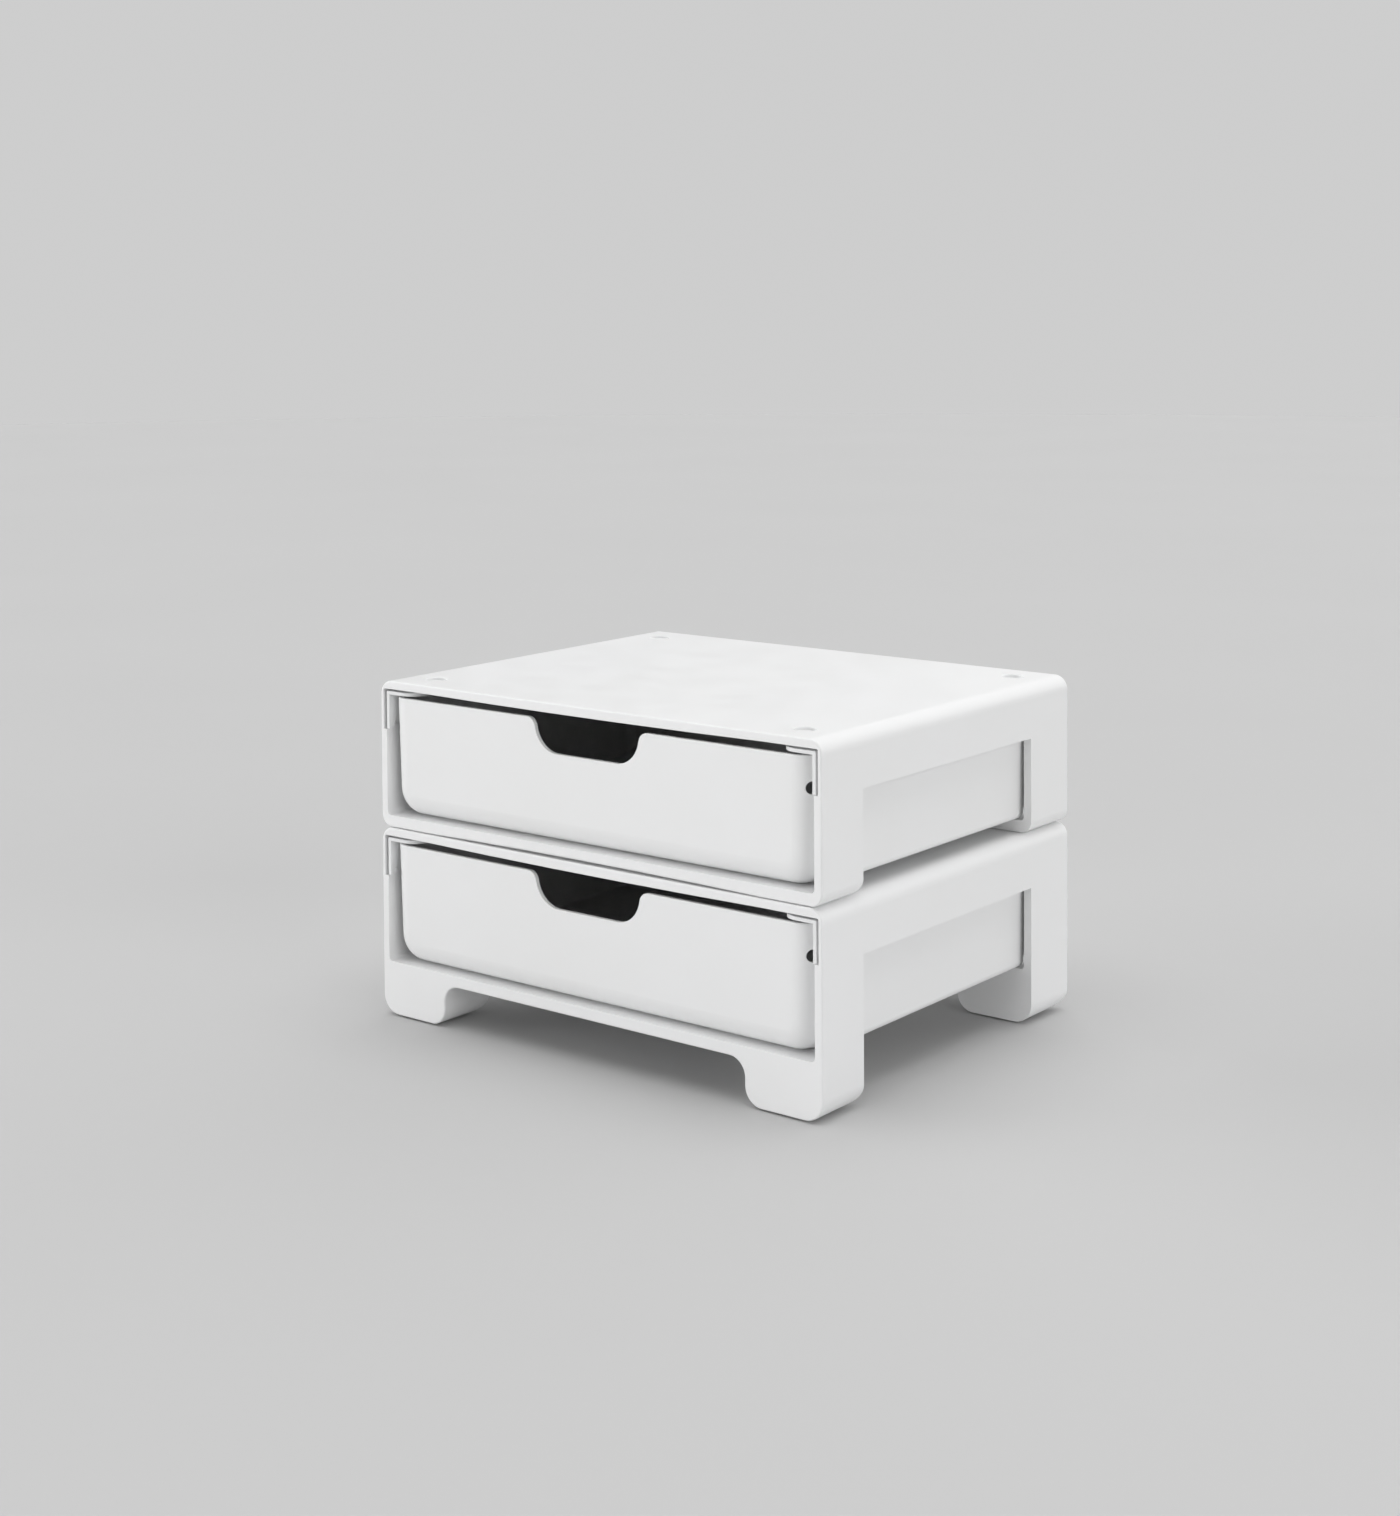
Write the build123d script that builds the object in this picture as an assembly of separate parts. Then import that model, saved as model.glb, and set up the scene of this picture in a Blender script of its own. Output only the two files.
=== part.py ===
"""Two-unit stacking desk drawer: an upper unit standing on a lower unit with legs.

Millimetres, +Z up, front towards -Y.  The origin is on the ground, under the
centre of the footprint.  Every piece is first drawn with y measured back from
the front face of the cases, and z measured up from the underside of its unit.
"""
from build123d import *
from math import acos, cos, radians, sin, tan
import os

# ---- cases ---------------------------------------------------------------
width = 330.0            # outside width of both cases
depth = 263.0            # front face to back face
unit_height = 90.0       # underside of the rails to the top of the panel
wall = 5.0               # top panel, stiles and side walls
rail_height = 7.2        # bottom rails, front and rear
front_post = 39.0        # front to back size of the front posts and rail
rear_post = 44.5         # the same at the rear
window_drop = 32.2       # top panel to the upper edge of the side windows
top_radius = 8.5         # long outer edges of the top panel
foot_radius = 7.5        # long lower edges of the upper case
post_radius = 9.0        # lower rear corner of the upper case's front posts
opening_radius = 2.5     # lower inside corners of the drawer opening
edge_radius = 1.0        # front and back outer edges
crown_chord = 250.0      # part of the width where the panel is thicker
crown_rise = 0.9         # how much thicker it is in the middle
relief_rise = 1.2        # hollow under the upper case's rails

# ---- legs of the lower case ------------------------------------------------
leg_height = 25.5        # underside of the rails to the underside of the legs
leg_width = 52.0         # across the front
leg_outer_radius = 12.0  # where the side turns under the leg
leg_inner_radius = 11.0  # the leg's inner lower corner
leg_root_radius = 10.5   # between the rail and the leg
leg_back_radius = 11.0   # lower rear corner of the front legs
heel_radius = 14.5       # lower rear corner of the rear legs

# ---- rear wall -------------------------------------------------------------
rear_wall = 3.0
rear_gap = 1.1           # behind the closed drawer
vent_height = 4.8        # slot between the rear rail and the rear wall

# ---- channels in the side walls, for the drawer's lugs ----------------------
skin = 2.4               # side wall left outside a channel
channel_drop = 30.0      # top panel to the channel's ledge
channel_radius = 1.0

# ---- drawers ---------------------------------------------------------------
drawer_wall = 2.6
drawer_recess = 0.8      # drawer front behind the case's front face
drawer_depth = 229.2
rim_gap = 4.9            # drawer rim to the underside of the panel
side_gap = 2.0           # drawer rim to a stile
rail_gap = 0.3           # drawer floor to the rails, and lug to ledge
draft = 1.0              # degrees
corner_radius = 13.0     # upright corners at the front
rear_radius = 9.0        # upright corners at the rear
cheek_radius = 15.0      # lower corners of the front, seen from the front
belly_flare = 10.0       # degrees at which the front's roundings run out behind it
tail_radius = 10.0       # lower edge of the back
keel_radius = 4.0        # lower edges of the sides
rim_radius = 0.8
notch_flat = 44.4        # straight bottom of the finger notch
notch_depth = 19.8
notch_radius = 17.0
notch_lip_radius = 6.2
hole_radius = 3.5        # catch hole in each front corner
hole_drop = 27.6         # top panel to the catch hole
hole_setback = 5.6       # case's front face to the catch hole
sink_width = 0.6         # bevel round the catch hole
lug_length = 50.0
lug_height = 8.0
lug_gap = 0.4            # lug to the bottom of its channel
lug_setback = 4.0        # back of the drawer to the lug

# ---- spring catches ----------------------------------------------------------
catch_width = 25.0       # inner end of the flange to the arm's outer face
catch_depth = 22.0
catch_setback = 0.8      # behind the case's front face
catch_radius = 12.0      # front inner corner of the flange
catch_edge = 0.8         # outer edge between the flange and the arm
flange = 2.0
rim_clearance = 1.4      # flange to the drawer's rim
arm = 2.1
arm_gap = 1.5            # arm's inner face beyond the stile's
arm_end_gap = 0.3        # arm's end to the ledge line
button_rise = 0.5        # catch button on the arm
button_radius = 3.5      # of its sphere
seat_inset = 3.0         # edge of the flange to its raised seat
seat_setback = 9.0
peg_radius = 2.0
peg_length = 2.5
peg_fit = 0.05           # radial
peg_relief = 0.3         # beyond the end of a peg
peg_spacing = 8.0

# ---- pads and dimples --------------------------------------------------------
stack_gap = 0.5          # lower panel to the upper case's rails
pad_radius = 6.2
pad_shank = 1.3          # part of a pad in its seat
foot_stand = 1.0         # part of a foot pad below its seat
pad_edge = 0.25          # lower edge of a pad
pad_fit = 0.1            # radial, in its seat
pad_side = 26.0          # side of the case to the pad's centre
pad_front = 22.0         # front or back of the case to the pad's centre
dimple_radius = 6.6
dimple_depth = 1.8
dimple_bevel = 0.3

# ---- worked out from the sizes above ----------------------------------------
half_width = width / 2
opening_half = half_width - wall
channel_half = half_width - skin
panel_under = unit_height - wall
ledge = unit_height - channel_drop
window_top = unit_height - window_drop
rear_post_front = depth - rear_post
drawer_half = opening_half - side_gap
drawer_floor = rail_height + rail_gap
drawer_rim = panel_under - rim_gap
drawer_back = drawer_recess + drawer_depth
rear_wall_front = drawer_back + rear_gap
hole_height = unit_height - hole_drop
arm_inner = opening_half - arm_gap
arm_outer = arm_inner + arm
flange_end = arm_outer - catch_width
seat_end = catch_depth - seat_inset
lower_base = foot_stand + leg_height
upper_base = lower_base + unit_height + stack_gap
stack_stand = dimple_depth + stack_gap
overrun = 5.0            # cutting bodies run past the faces they cut


def along_y(profile, start, length):
    """Stretch a profile drawn in X and Z back from y = start."""
    return extrude(Plane.XZ.offset(-start) * profile, amount=-length)


def block(x, y, z):
    """Box given by its low and high X, Y and Z."""
    middle = ((x[0] + x[1]) / 2, (y[0] + y[1]) / 2, (z[0] + z[1]) / 2)
    return Pos(*middle) * Box(abs(x[1] - x[0]), abs(y[1] - y[0]), abs(z[1] - z[0]))


def rounded(profile, corners):
    """Fillet the corners of a profile, each given as (u, v, radius)."""
    for u, v, radius in corners:
        corner = profile.vertices().sort_by_distance((u, v, 0))[0]
        profile = fillet(corner, radius)
    return profile


def outline(points):
    """Face inside a closed run of straight lines."""
    return make_face(Polyline(*points, close=True))


def segment(level, rise):
    """Slice of a circle on a level chord, standing up for a positive rise."""
    end = crown_chord / 2
    left, right, top = (-end, level), (end, level), (0, level + rise)
    return make_face([Line(left, right), ThreePointArc(right, top, left)])


def pad_places():
    """Centres of the four pads or dimples of a unit, in plan."""
    across = half_width - pad_side
    for y in (pad_front, depth - pad_front):
        for x in (-across, across):
            yield x, y


# ---- cases ---------------------------------------------------------------
def case_front(leg):
    """Front outline of a case, with its drawer opening."""
    if leg:
        inner = half_width - leg_width
        points = [(-half_width, -leg), (-inner, -leg), (-inner, 0), (inner, 0),
                  (inner, -leg), (half_width, -leg), (half_width, unit_height),
                  (-half_width, unit_height)]
        corners = [(side * half_width, -leg, leg_outer_radius) for side in (-1, 1)]
        corners += [(side * inner, -leg, leg_inner_radius) for side in (-1, 1)]
        corners += [(side * inner, 0, leg_root_radius) for side in (-1, 1)]
    else:
        points = [(-half_width, 0), (half_width, 0), (half_width, unit_height),
                  (-half_width, unit_height)]
        corners = [(side * half_width, 0, foot_radius) for side in (-1, 1)]
    corners += [(side * half_width, unit_height, top_radius) for side in (-1, 1)]
    opening = outline([(-opening_half, rail_height), (opening_half, rail_height),
                       (opening_half, panel_under), (-opening_half, panel_under)])
    opening = rounded(opening, [(side * opening_half, rail_height, opening_radius)
                                for side in (-1, 1)])
    front = rounded(outline(points), corners) - opening + segment(panel_under, -crown_rise)
    return front if leg else front - segment(0, relief_rise)


def case_side(leg):
    """Side outline of a case: two posts or legs under the top band."""
    points = [(0, -leg), (front_post, -leg), (front_post, window_top),
              (rear_post_front, window_top), (rear_post_front, -leg),
              (depth, -leg), (depth, unit_height), (0, unit_height)]
    back, heel = (leg_back_radius, heel_radius) if leg else (post_radius, foot_radius)
    return rounded(outline(points), [(front_post, -leg, back), (depth, -leg, heel)])


def channel(side):
    """Space cut in a side wall for a lug and a catch."""
    profile = outline([(side * (opening_half - overrun), ledge), (side * channel_half, ledge),
                       (side * channel_half, panel_under),
                       (side * (opening_half - overrun), panel_under)])
    profile = rounded(profile, [(side * channel_half, panel_under, channel_radius)])
    return along_y(profile, -overrun, rear_wall_front + overrun)


def peg_places(side):
    """Centres of a catch's two pegs, in plan."""
    middle = side * (flange_end + arm_inner) / 2
    for step in (-1, 1):
        yield middle + step * peg_spacing / 2, catch_setback + (seat_setback + seat_end) / 2


def outer_edges(case):
    """Edges of the front and back faces that run up the sides and over the top."""
    ends = case.edges().filter_by(Plane.XZ).group_by(Axis.Y)
    found = []
    for edge in ends[0] + ends[-1]:
        x, z = abs(edge.center().X), edge.center().Z
        beyond = x > opening_half + edge_radius or z > panel_under + edge_radius
        if beyond and z > leg_height:
            found.append(edge)
    return found


def make_case(leg):
    """One moulded case; leg is the height of its legs, or 0 for none."""
    front = along_y(case_front(leg), 0, depth)
    side = extrude(Plane.YZ.offset(-half_width) * case_side(leg), amount=width)
    peg_socket = Cylinder(peg_radius + peg_fit, 2 * (peg_length + peg_relief))
    body = fillet(outer_edges(front), edge_radius) & side
    body += block((-opening_half - skin, opening_half + skin),
                  (rear_wall_front, rear_wall_front + rear_wall),
                  (rail_height + vent_height, panel_under + skin))
    for hand in (-1, 1):
        body -= channel(hand)
        for x, y in peg_places(hand):
            body -= Pos(x, y, panel_under) * peg_socket
    for x, y in pad_places():
        bevel = Cone(dimple_radius, dimple_radius + dimple_bevel, dimple_bevel)
        dimple = Cylinder(dimple_radius, dimple_depth)
        seat = Cylinder(pad_radius + pad_fit, pad_shank)
        body -= Pos(x, y, unit_height - dimple_depth / 2) * dimple
        body -= Pos(x, y, unit_height - dimple_bevel / 2) * bevel
        body -= Pos(x, y, -leg + pad_shank / 2) * seat
    return body


# ---- drawers ---------------------------------------------------------------
def drafted(plan, floor):
    """Plan outline carried down from the rim to a floor, drawn in by the draft."""
    return extrude(Plane.XY.offset(drawer_rim) * plan, amount=floor - drawer_rim, taper=draft)


def tub(inset, floor):
    """Solid drawer body, drawn in from the outside by inset, from floor to rim."""
    half = drawer_half - inset
    front, back = drawer_recess + inset, drawer_back - inset
    turn = corner_radius - inset
    start = front - corner_radius
    lean = tan(radians(draft))

    # sides and back, running past the front
    plan = outline([(-half, start), (half, start), (half, back), (-half, back)])
    plan = rounded(plan, [(side * half, back, rear_radius - inset) for side in (-1, 1)])
    sides = drafted(plan, floor)
    sides = fillet(sides.faces().sort_by(Axis.Z)[0].edges(), keel_radius - inset)
    heel = back - (drawer_rim - floor) * lean
    tail = outline([(start, floor), (heel, floor), (back, drawer_rim), (start, drawer_rim)])
    tail = rounded(tail, [(heel, floor, tail_radius - inset)])
    sides &= extrude(Plane.YZ.offset(-half - overrun) * tail, amount=2 * (half + overrun))

    # front, leaning by the draft and spreading towards the back
    spread = turn * (1 - tan(radians(90 - belly_flare) / 2))
    drop = drawer_rim - floor - spread
    low, high = half - spread - drop * lean, half - spread + overrun * lean
    face = outline([(-low, -drop), (low, -drop), (high, overrun), (-high, overrun)])
    face = rounded(face, [(side * low, -drop, cheek_radius - inset) for side in (-1, 1)])
    towards = (0, -cos(radians(draft)), -sin(radians(draft)))
    place = Plane(origin=(0, front, drawer_rim), x_dir=(1, 0, 0), z_dir=towards)
    nose = extrude(place * face, amount=front - back - overrun, taper=-belly_flare)
    nose = fillet(nose.faces().sort_by(Axis.Y)[0].edges().sort_by(Axis.Z)[:-1], turn)
    return sides & nose


def notch():
    """Finger notch in the top edge of the drawer's front."""
    rise = notch_radius + notch_lip_radius
    turn = acos(1 - notch_depth / rise)
    flat = notch_flat / 2
    end = flat + rise * sin(turn)
    foot = drawer_rim - notch_depth
    low = Vector(flat, foot + notch_radius)
    high = Vector(end, drawer_rim - notch_lip_radius)
    join = low + (high - low) * (notch_radius / rise)
    right = [(flat, foot), (join.X, join.Y), (end, drawer_rim)]
    left = [(-x, z) for x, z in right]
    lines = [Line(left[0], right[0]),
             RadiusArc(right[0], right[1], -notch_radius),
             RadiusArc(right[1], right[2], notch_lip_radius),
             Line(right[2], (end, drawer_rim + overrun)),
             Line((end, drawer_rim + overrun), (-end, drawer_rim + overrun)),
             Line((-end, drawer_rim + overrun), left[2]),
             RadiusArc(left[2], left[1], notch_lip_radius),
             RadiusArc(left[1], left[0], -notch_radius)]
    return along_y(make_face(lines), -overrun, drawer_recess + corner_radius + overrun)


def catch_hole(side):
    """Hole square through the wall of the drawer's front corner, with its bevel."""
    swing = acos(1 - (hole_setback - drawer_recess) / corner_radius)
    x = side * (drawer_half - corner_radius + corner_radius * sin(swing))
    outward = Vector(side * sin(swing), -cos(swing), 0)
    place = Plane(origin=Vector(x, hole_setback, hole_height), z_dir=outward)
    sink = Cone(hole_radius, hole_radius + 2 * sink_width, 2 * sink_width)
    return place * (sink + Cylinder(hole_radius, 2 * (drawer_wall + draft)))


def lug(side):
    """Rear lug of a drawer side, which rides on the ledge of its channel."""
    low = ledge + rail_gap
    back = drawer_back - lug_setback
    root = drawer_half - drawer_wall / 2
    body = block((side * root, side * (channel_half - lug_gap)), (back - lug_length, back),
                 (low, low + lug_height))
    return fillet(body.edges().filter_by(Axis.X), lug_height / 4)


def make_drawer():
    """One drawer, closed."""
    body = tub(0, drawer_floor)
    rim = body.faces().sort_by(Axis.Z)[-1]
    body = fillet(rim.edges(), rim_radius)
    body -= tub(drawer_wall, drawer_floor + drawer_wall)
    body -= notch()
    for side in (-1, 1):
        body -= catch_hole(side)
        body += lug(side)
    return body


# ---- spring catches --------------------------------------------------------
def make_catch(side):
    """L-shaped catch: a flange under the panel and a springy arm with a button."""
    low = drawer_rim + rim_clearance
    high = low + flange
    end = ledge + arm_end_gap
    back = catch_setback + catch_depth
    profile = outline([(flange_end, low), (arm_inner, low), (arm_inner, end), (arm_outer, end),
                       (arm_outer, high), (flange_end, high)])
    profile = rounded(profile, [(arm_outer, high, catch_edge)])
    body = along_y(profile, catch_setback, catch_depth)
    corner = body.edges().filter_by(Axis.Z).sort_by_distance((flange_end, catch_setback, high))[0]
    body = fillet(corner, catch_radius)
    body += block((flange_end + seat_inset, arm_outer - seat_inset),
                  (catch_setback + seat_setback, catch_setback + seat_end), (high, panel_under))
    for x, y in peg_places(1):
        body += Pos(x, y, panel_under + peg_length / 2) * Cylinder(peg_radius, peg_length)
    centre = arm_inner - button_rise + button_radius
    ball = Pos(centre, hole_setback, hole_height) * Sphere(button_radius)
    body += ball & block((arm_inner - overrun, arm_outer), (0, back), (end, high))
    return body if side > 0 else mirror(body, Plane.YZ)


# ---- pads ------------------------------------------------------------------
def make_pad(stand):
    """Rubber pad with its seat face at the top of its shank."""
    pad = Pos(0, 0, (pad_shank - stand) / 2) * Cylinder(pad_radius, pad_shank + stand)
    return fillet(pad.edges().sort_by(Axis.Z)[0], pad_edge)


# ---- assembly --------------------------------------------------------------
def build():
    """Every piece under its name, in place."""
    pieces = {}
    for unit, base, leg in (("lower", lower_base, leg_height), ("upper", upper_base, 0)):
        lift = Pos(0, -depth / 2, base)
        pieces[f"{unit}_case"] = lift * make_case(leg)
        pieces[f"{unit}_drawer"] = lift * make_drawer()
        pieces[f"{unit}_left_catch"] = lift * make_catch(-1)
        pieces[f"{unit}_right_catch"] = lift * make_catch(1)
        kind, stand = ("foot_pad", foot_stand) if leg else ("stacking_pad", stack_stand)
        names = ("front_left", "front_right", "rear_left", "rear_right")
        for name, (x, y) in zip(names, pad_places()):
            pieces[f"{name}_{kind}"] = lift * Pos(x, y, -leg) * make_pad(stand)
    return pieces


os.makedirs("parts", exist_ok=True)
for name, piece in build().items():
    export_step(piece, f"parts/{name}.step")
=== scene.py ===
from math import pi, radians

import bmesh
import bpy
from mathutils import Matrix, Vector

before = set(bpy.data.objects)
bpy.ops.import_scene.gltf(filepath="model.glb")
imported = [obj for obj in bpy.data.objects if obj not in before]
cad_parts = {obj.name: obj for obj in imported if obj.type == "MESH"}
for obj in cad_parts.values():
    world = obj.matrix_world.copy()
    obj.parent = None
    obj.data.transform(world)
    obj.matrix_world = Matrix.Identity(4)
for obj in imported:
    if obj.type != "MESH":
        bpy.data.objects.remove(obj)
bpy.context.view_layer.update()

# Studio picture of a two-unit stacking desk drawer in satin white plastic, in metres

# Camera at the photograph's angle
EYE = Vector((0.8852, -1.1571, 0.4456))
HEADING, PITCH, ROLL = radians(38.677), radians(2.187), radians(-0.368)
LENS, SENSOR = 61.326, 36.0          # millimetres
SHIFT = (0.02141, -0.26991)          # right and up, in widths of the picture
FAR_CLIP = 50.0

# Colours, linear
CASE_WHITE = (0.865, 0.868, 0.872)
DRAWER_WHITE = (0.860, 0.863, 0.866)
CATCH_WHITE = (0.845, 0.850, 0.856)
RUBBER_GREY = (0.52, 0.52, 0.51)
FLOOR_GREY = (0.56, 0.56, 0.56)
BACKGROUND = 0.615                   # seen by the camera, the same as the lit floor

# Darker tone that each colour drifts to, as a share of it
FLOW_TONE = (0.985, 0.985, 0.98)
RUBBER_TONE = (0.92, 0.92, 0.92)
FLOOR_TONE = (0.99, 0.99, 0.99)

# Plastic and rubber surfaces
PLASTIC_SPECULAR = 0.35
SHEEN_DRIFT = 0.04                   # roughness either side of the middle value
PLASTIC_GRAIN_HEIGHT = 0.00004
RUBBER_GRAIN = 0.3
RUBBER_GRAIN_HEIGHT = 0.00005
RUBBER_ROUGHNESS = 0.75

# Floor
FLOOR_RADIUS = 7.0
FLOOR_SIDES = 96
FLOOR_ROUGHNESS = 0.9
FLOOR_SPECULAR = 0.1

# Soft suns: direction towards the lamp, strength, width in degrees
SUNS = {
    "overhead_soft_box": ((0.0, -0.1, 1.0), 0.45, 60),
    "rear_soft_box": ((0.1, 0.9, 0.9), 0.48, 90),
    "left_soft_box": ((-1.0, -0.2, 0.3), 0.24, 40),
    "low_left_front_card": ((-0.8, -0.7, 0.04), 0.62, 30),
    "low_front_card": ((0.0, -1.0, 0.04), 0.17, 30),
    "right_soft_box": ((1.0, -0.15, 0.12), 0.49, 50),
}
SKY = 0.10                           # strength of the even surroundings

# Part of a noise's range that holds most of its values
NOISE_LOW, NOISE_HIGH = 0.35, 0.65

# Sockets of the colour Mix node, whose names it shares with its other kinds
FIRST_COLOUR, SECOND_COLOUR, MIXED_COLOUR = 6, 7, 2


def new_object(name, data):
    """Object in the scene, at the origin."""
    item = bpy.data.objects.new(name, data)
    bpy.context.scene.collection.objects.link(item)
    return item


# ---- materials ---------------------------------------------------------------
def shader(name):
    """New material with its nodes, its links, its shader and its place node."""
    material = bpy.data.materials.new(name)
    material.use_nodes = True
    nodes, links = material.node_tree.nodes, material.node_tree.links
    return material, nodes, links, nodes["Principled BSDF"], nodes.new("ShaderNodeTexCoord")


def noise(nodes, links, place, scale, detail):
    """Noise fixed to the object, at a scale in waves to the metre."""
    node = nodes.new("ShaderNodeTexNoise")
    node.inputs["Scale"].default_value = scale
    node.inputs["Detail"].default_value = detail
    links.new(place.outputs["Object"], node.inputs["Vector"])
    return node.outputs["Fac"]


def spread(nodes, links, fac, low, high):
    """Noise stretched so that most of its values run from low to high."""
    node = nodes.new("ShaderNodeMapRange")
    node.inputs["From Min"].default_value = NOISE_LOW
    node.inputs["From Max"].default_value = NOISE_HIGH
    node.inputs["To Min"].default_value = low
    node.inputs["To Max"].default_value = high
    links.new(fac, node.inputs["Value"])
    return node.outputs["Result"]


def drift(nodes, links, fac, tone, colour):
    """Colour that drifts with a noise between a darker tone and its full value."""
    node = nodes.new("ShaderNodeMix")
    node.data_type = "RGBA"
    darker = (part * share for part, share in zip(colour, tone))
    node.inputs[FIRST_COLOUR].default_value = (*darker, 1)
    node.inputs[SECOND_COLOUR].default_value = (*colour, 1)
    links.new(spread(nodes, links, fac, 0.0, 1.0), node.inputs["Factor"])
    return node.outputs[MIXED_COLOUR]


def grain(nodes, links, fac, strength, height):
    """Fine relief from a noise."""
    node = nodes.new("ShaderNodeBump")
    node.inputs["Strength"].default_value = strength
    node.inputs["Distance"].default_value = height
    links.new(fac, node.inputs["Height"])
    return node.outputs["Normal"]


def moulded_plastic(name, white, roughness, blast):
    """White plastic from a lightly blasted mould: faint flow tints, satin sheen, fine grain."""
    material, nodes, links, plastic, place = shader(name)
    flow = noise(nodes, links, place, scale=7.0, detail=3.0)
    sheen = noise(nodes, links, place, scale=55.0, detail=2.0)
    skin = noise(nodes, links, place, scale=1900.0, detail=2.0)
    links.new(drift(nodes, links, flow, FLOW_TONE, white), plastic.inputs["Base Color"])
    links.new(spread(nodes, links, sheen, roughness - SHEEN_DRIFT, roughness + SHEEN_DRIFT),
              plastic.inputs["Roughness"])
    links.new(grain(nodes, links, skin, blast, PLASTIC_GRAIN_HEIGHT), plastic.inputs["Normal"])
    plastic.inputs["Specular IOR Level"].default_value = PLASTIC_SPECULAR
    return material


def pad_rubber(name):
    """Grey elastomer with a fine matt surface."""
    material, nodes, links, rubber, place = shader(name)
    patch = noise(nodes, links, place, scale=300.0, detail=3.0)
    skin = noise(nodes, links, place, scale=2500.0, detail=2.0)
    links.new(drift(nodes, links, patch, RUBBER_TONE, RUBBER_GREY), rubber.inputs["Base Color"])
    links.new(grain(nodes, links, skin, RUBBER_GRAIN, RUBBER_GRAIN_HEIGHT),
              rubber.inputs["Normal"])
    rubber.inputs["Roughness"].default_value = RUBBER_ROUGHNESS
    return material


def floor_paper(name):
    """Matt grey paper with faint clouds."""
    material, nodes, links, paper, place = shader(name)
    cloud = noise(nodes, links, place, scale=2.0, detail=2.0)
    links.new(drift(nodes, links, cloud, FLOOR_TONE, FLOOR_GREY), paper.inputs["Base Color"])
    paper.inputs["Roughness"].default_value = FLOOR_ROUGHNESS
    paper.inputs["Specular IOR Level"].default_value = FLOOR_SPECULAR
    return material


def finish_nodes():
    """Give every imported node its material, by the end of its name."""
    finishes = {
        "_case": moulded_plastic("case_satin_white", CASE_WHITE, roughness=0.40, blast=0.20),
        "_drawer": moulded_plastic("drawer_satin_white", DRAWER_WHITE, roughness=0.36, blast=0.16),
        "_catch": moulded_plastic("catch_satin_white", CATCH_WHITE, roughness=0.33, blast=0.12),
        "_pad": pad_rubber("pad_matt_grey"),
    }
    for name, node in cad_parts.items():
        for ending, material in finishes.items():
            if name.endswith(ending):
                node.data.materials.clear()
                node.data.materials.append(material)


# ---- studio --------------------------------------------------------------------
def studio_floor():
    """Wide pale floor under the pads."""
    mesh = bpy.data.meshes.new("studio_floor")
    disc = bmesh.new()
    bmesh.ops.create_circle(disc, cap_ends=True, segments=FLOOR_SIDES, radius=FLOOR_RADIUS)
    disc.to_mesh(mesh)
    disc.free()
    mesh.materials.append(floor_paper("floor_paper"))
    item = new_object("studio_floor", mesh)


def soft_sun(name, towards, strength, width):
    """Wide distant lamp; at strength 1 a facing surface shows its own colour."""
    lamp = bpy.data.lights.new(name, "SUN")
    lamp.energy = strength * pi
    lamp.angle = radians(width)
    new_object(name, lamp).rotation_euler = Vector(towards).to_track_quat("Z", "Y").to_euler()


def studio_world():
    """Plain surroundings, dimmer as a light than as a background."""
    world = bpy.data.worlds.new("studio_world")
    world.use_nodes = True
    bpy.context.scene.world = world
    nodes, links = world.node_tree.nodes, world.node_tree.links
    nodes.clear()
    path = nodes.new("ShaderNodeLightPath")
    light = nodes.new("ShaderNodeBackground")
    light.inputs["Color"].default_value = (1, 1, 1, 1)
    light.inputs["Strength"].default_value = SKY
    seen = nodes.new("ShaderNodeBackground")
    seen.inputs["Color"].default_value = (BACKGROUND, BACKGROUND, BACKGROUND, 1)
    mix = nodes.new("ShaderNodeMixShader")
    links.new(path.outputs["Is Camera Ray"], mix.inputs["Fac"])
    for number, background in enumerate((light, seen), 1):
        links.new(background.outputs["Background"], mix.inputs[number])
    out = nodes.new("ShaderNodeOutputWorld")
    links.new(mix.outputs["Shader"], out.inputs["Surface"])


def photograph_camera():
    """Camera where the photograph was taken from."""
    camera = bpy.data.cameras.new("photograph")
    camera.sensor_fit = "HORIZONTAL"
    camera.sensor_width = SENSOR
    camera.lens = LENS
    camera.shift_x, camera.shift_y = SHIFT
    camera.clip_end = FAR_CLIP
    turn = (Matrix.Rotation(HEADING, 4, "Z") @ Matrix.Rotation(radians(90) - PITCH, 4, "X")
            @ Matrix.Rotation(ROLL, 4, "Z"))
    item = new_object("photograph", camera)
    item.matrix_world = Matrix.Translation(EYE) @ turn
    bpy.context.scene.camera = item


photograph_camera()
finish_nodes()
studio_floor()
studio_world()
for name, (towards, strength, width) in SUNS.items():
    soft_sun(name, towards, strength, width)
bpy.context.scene.view_settings.view_transform = "Standard"
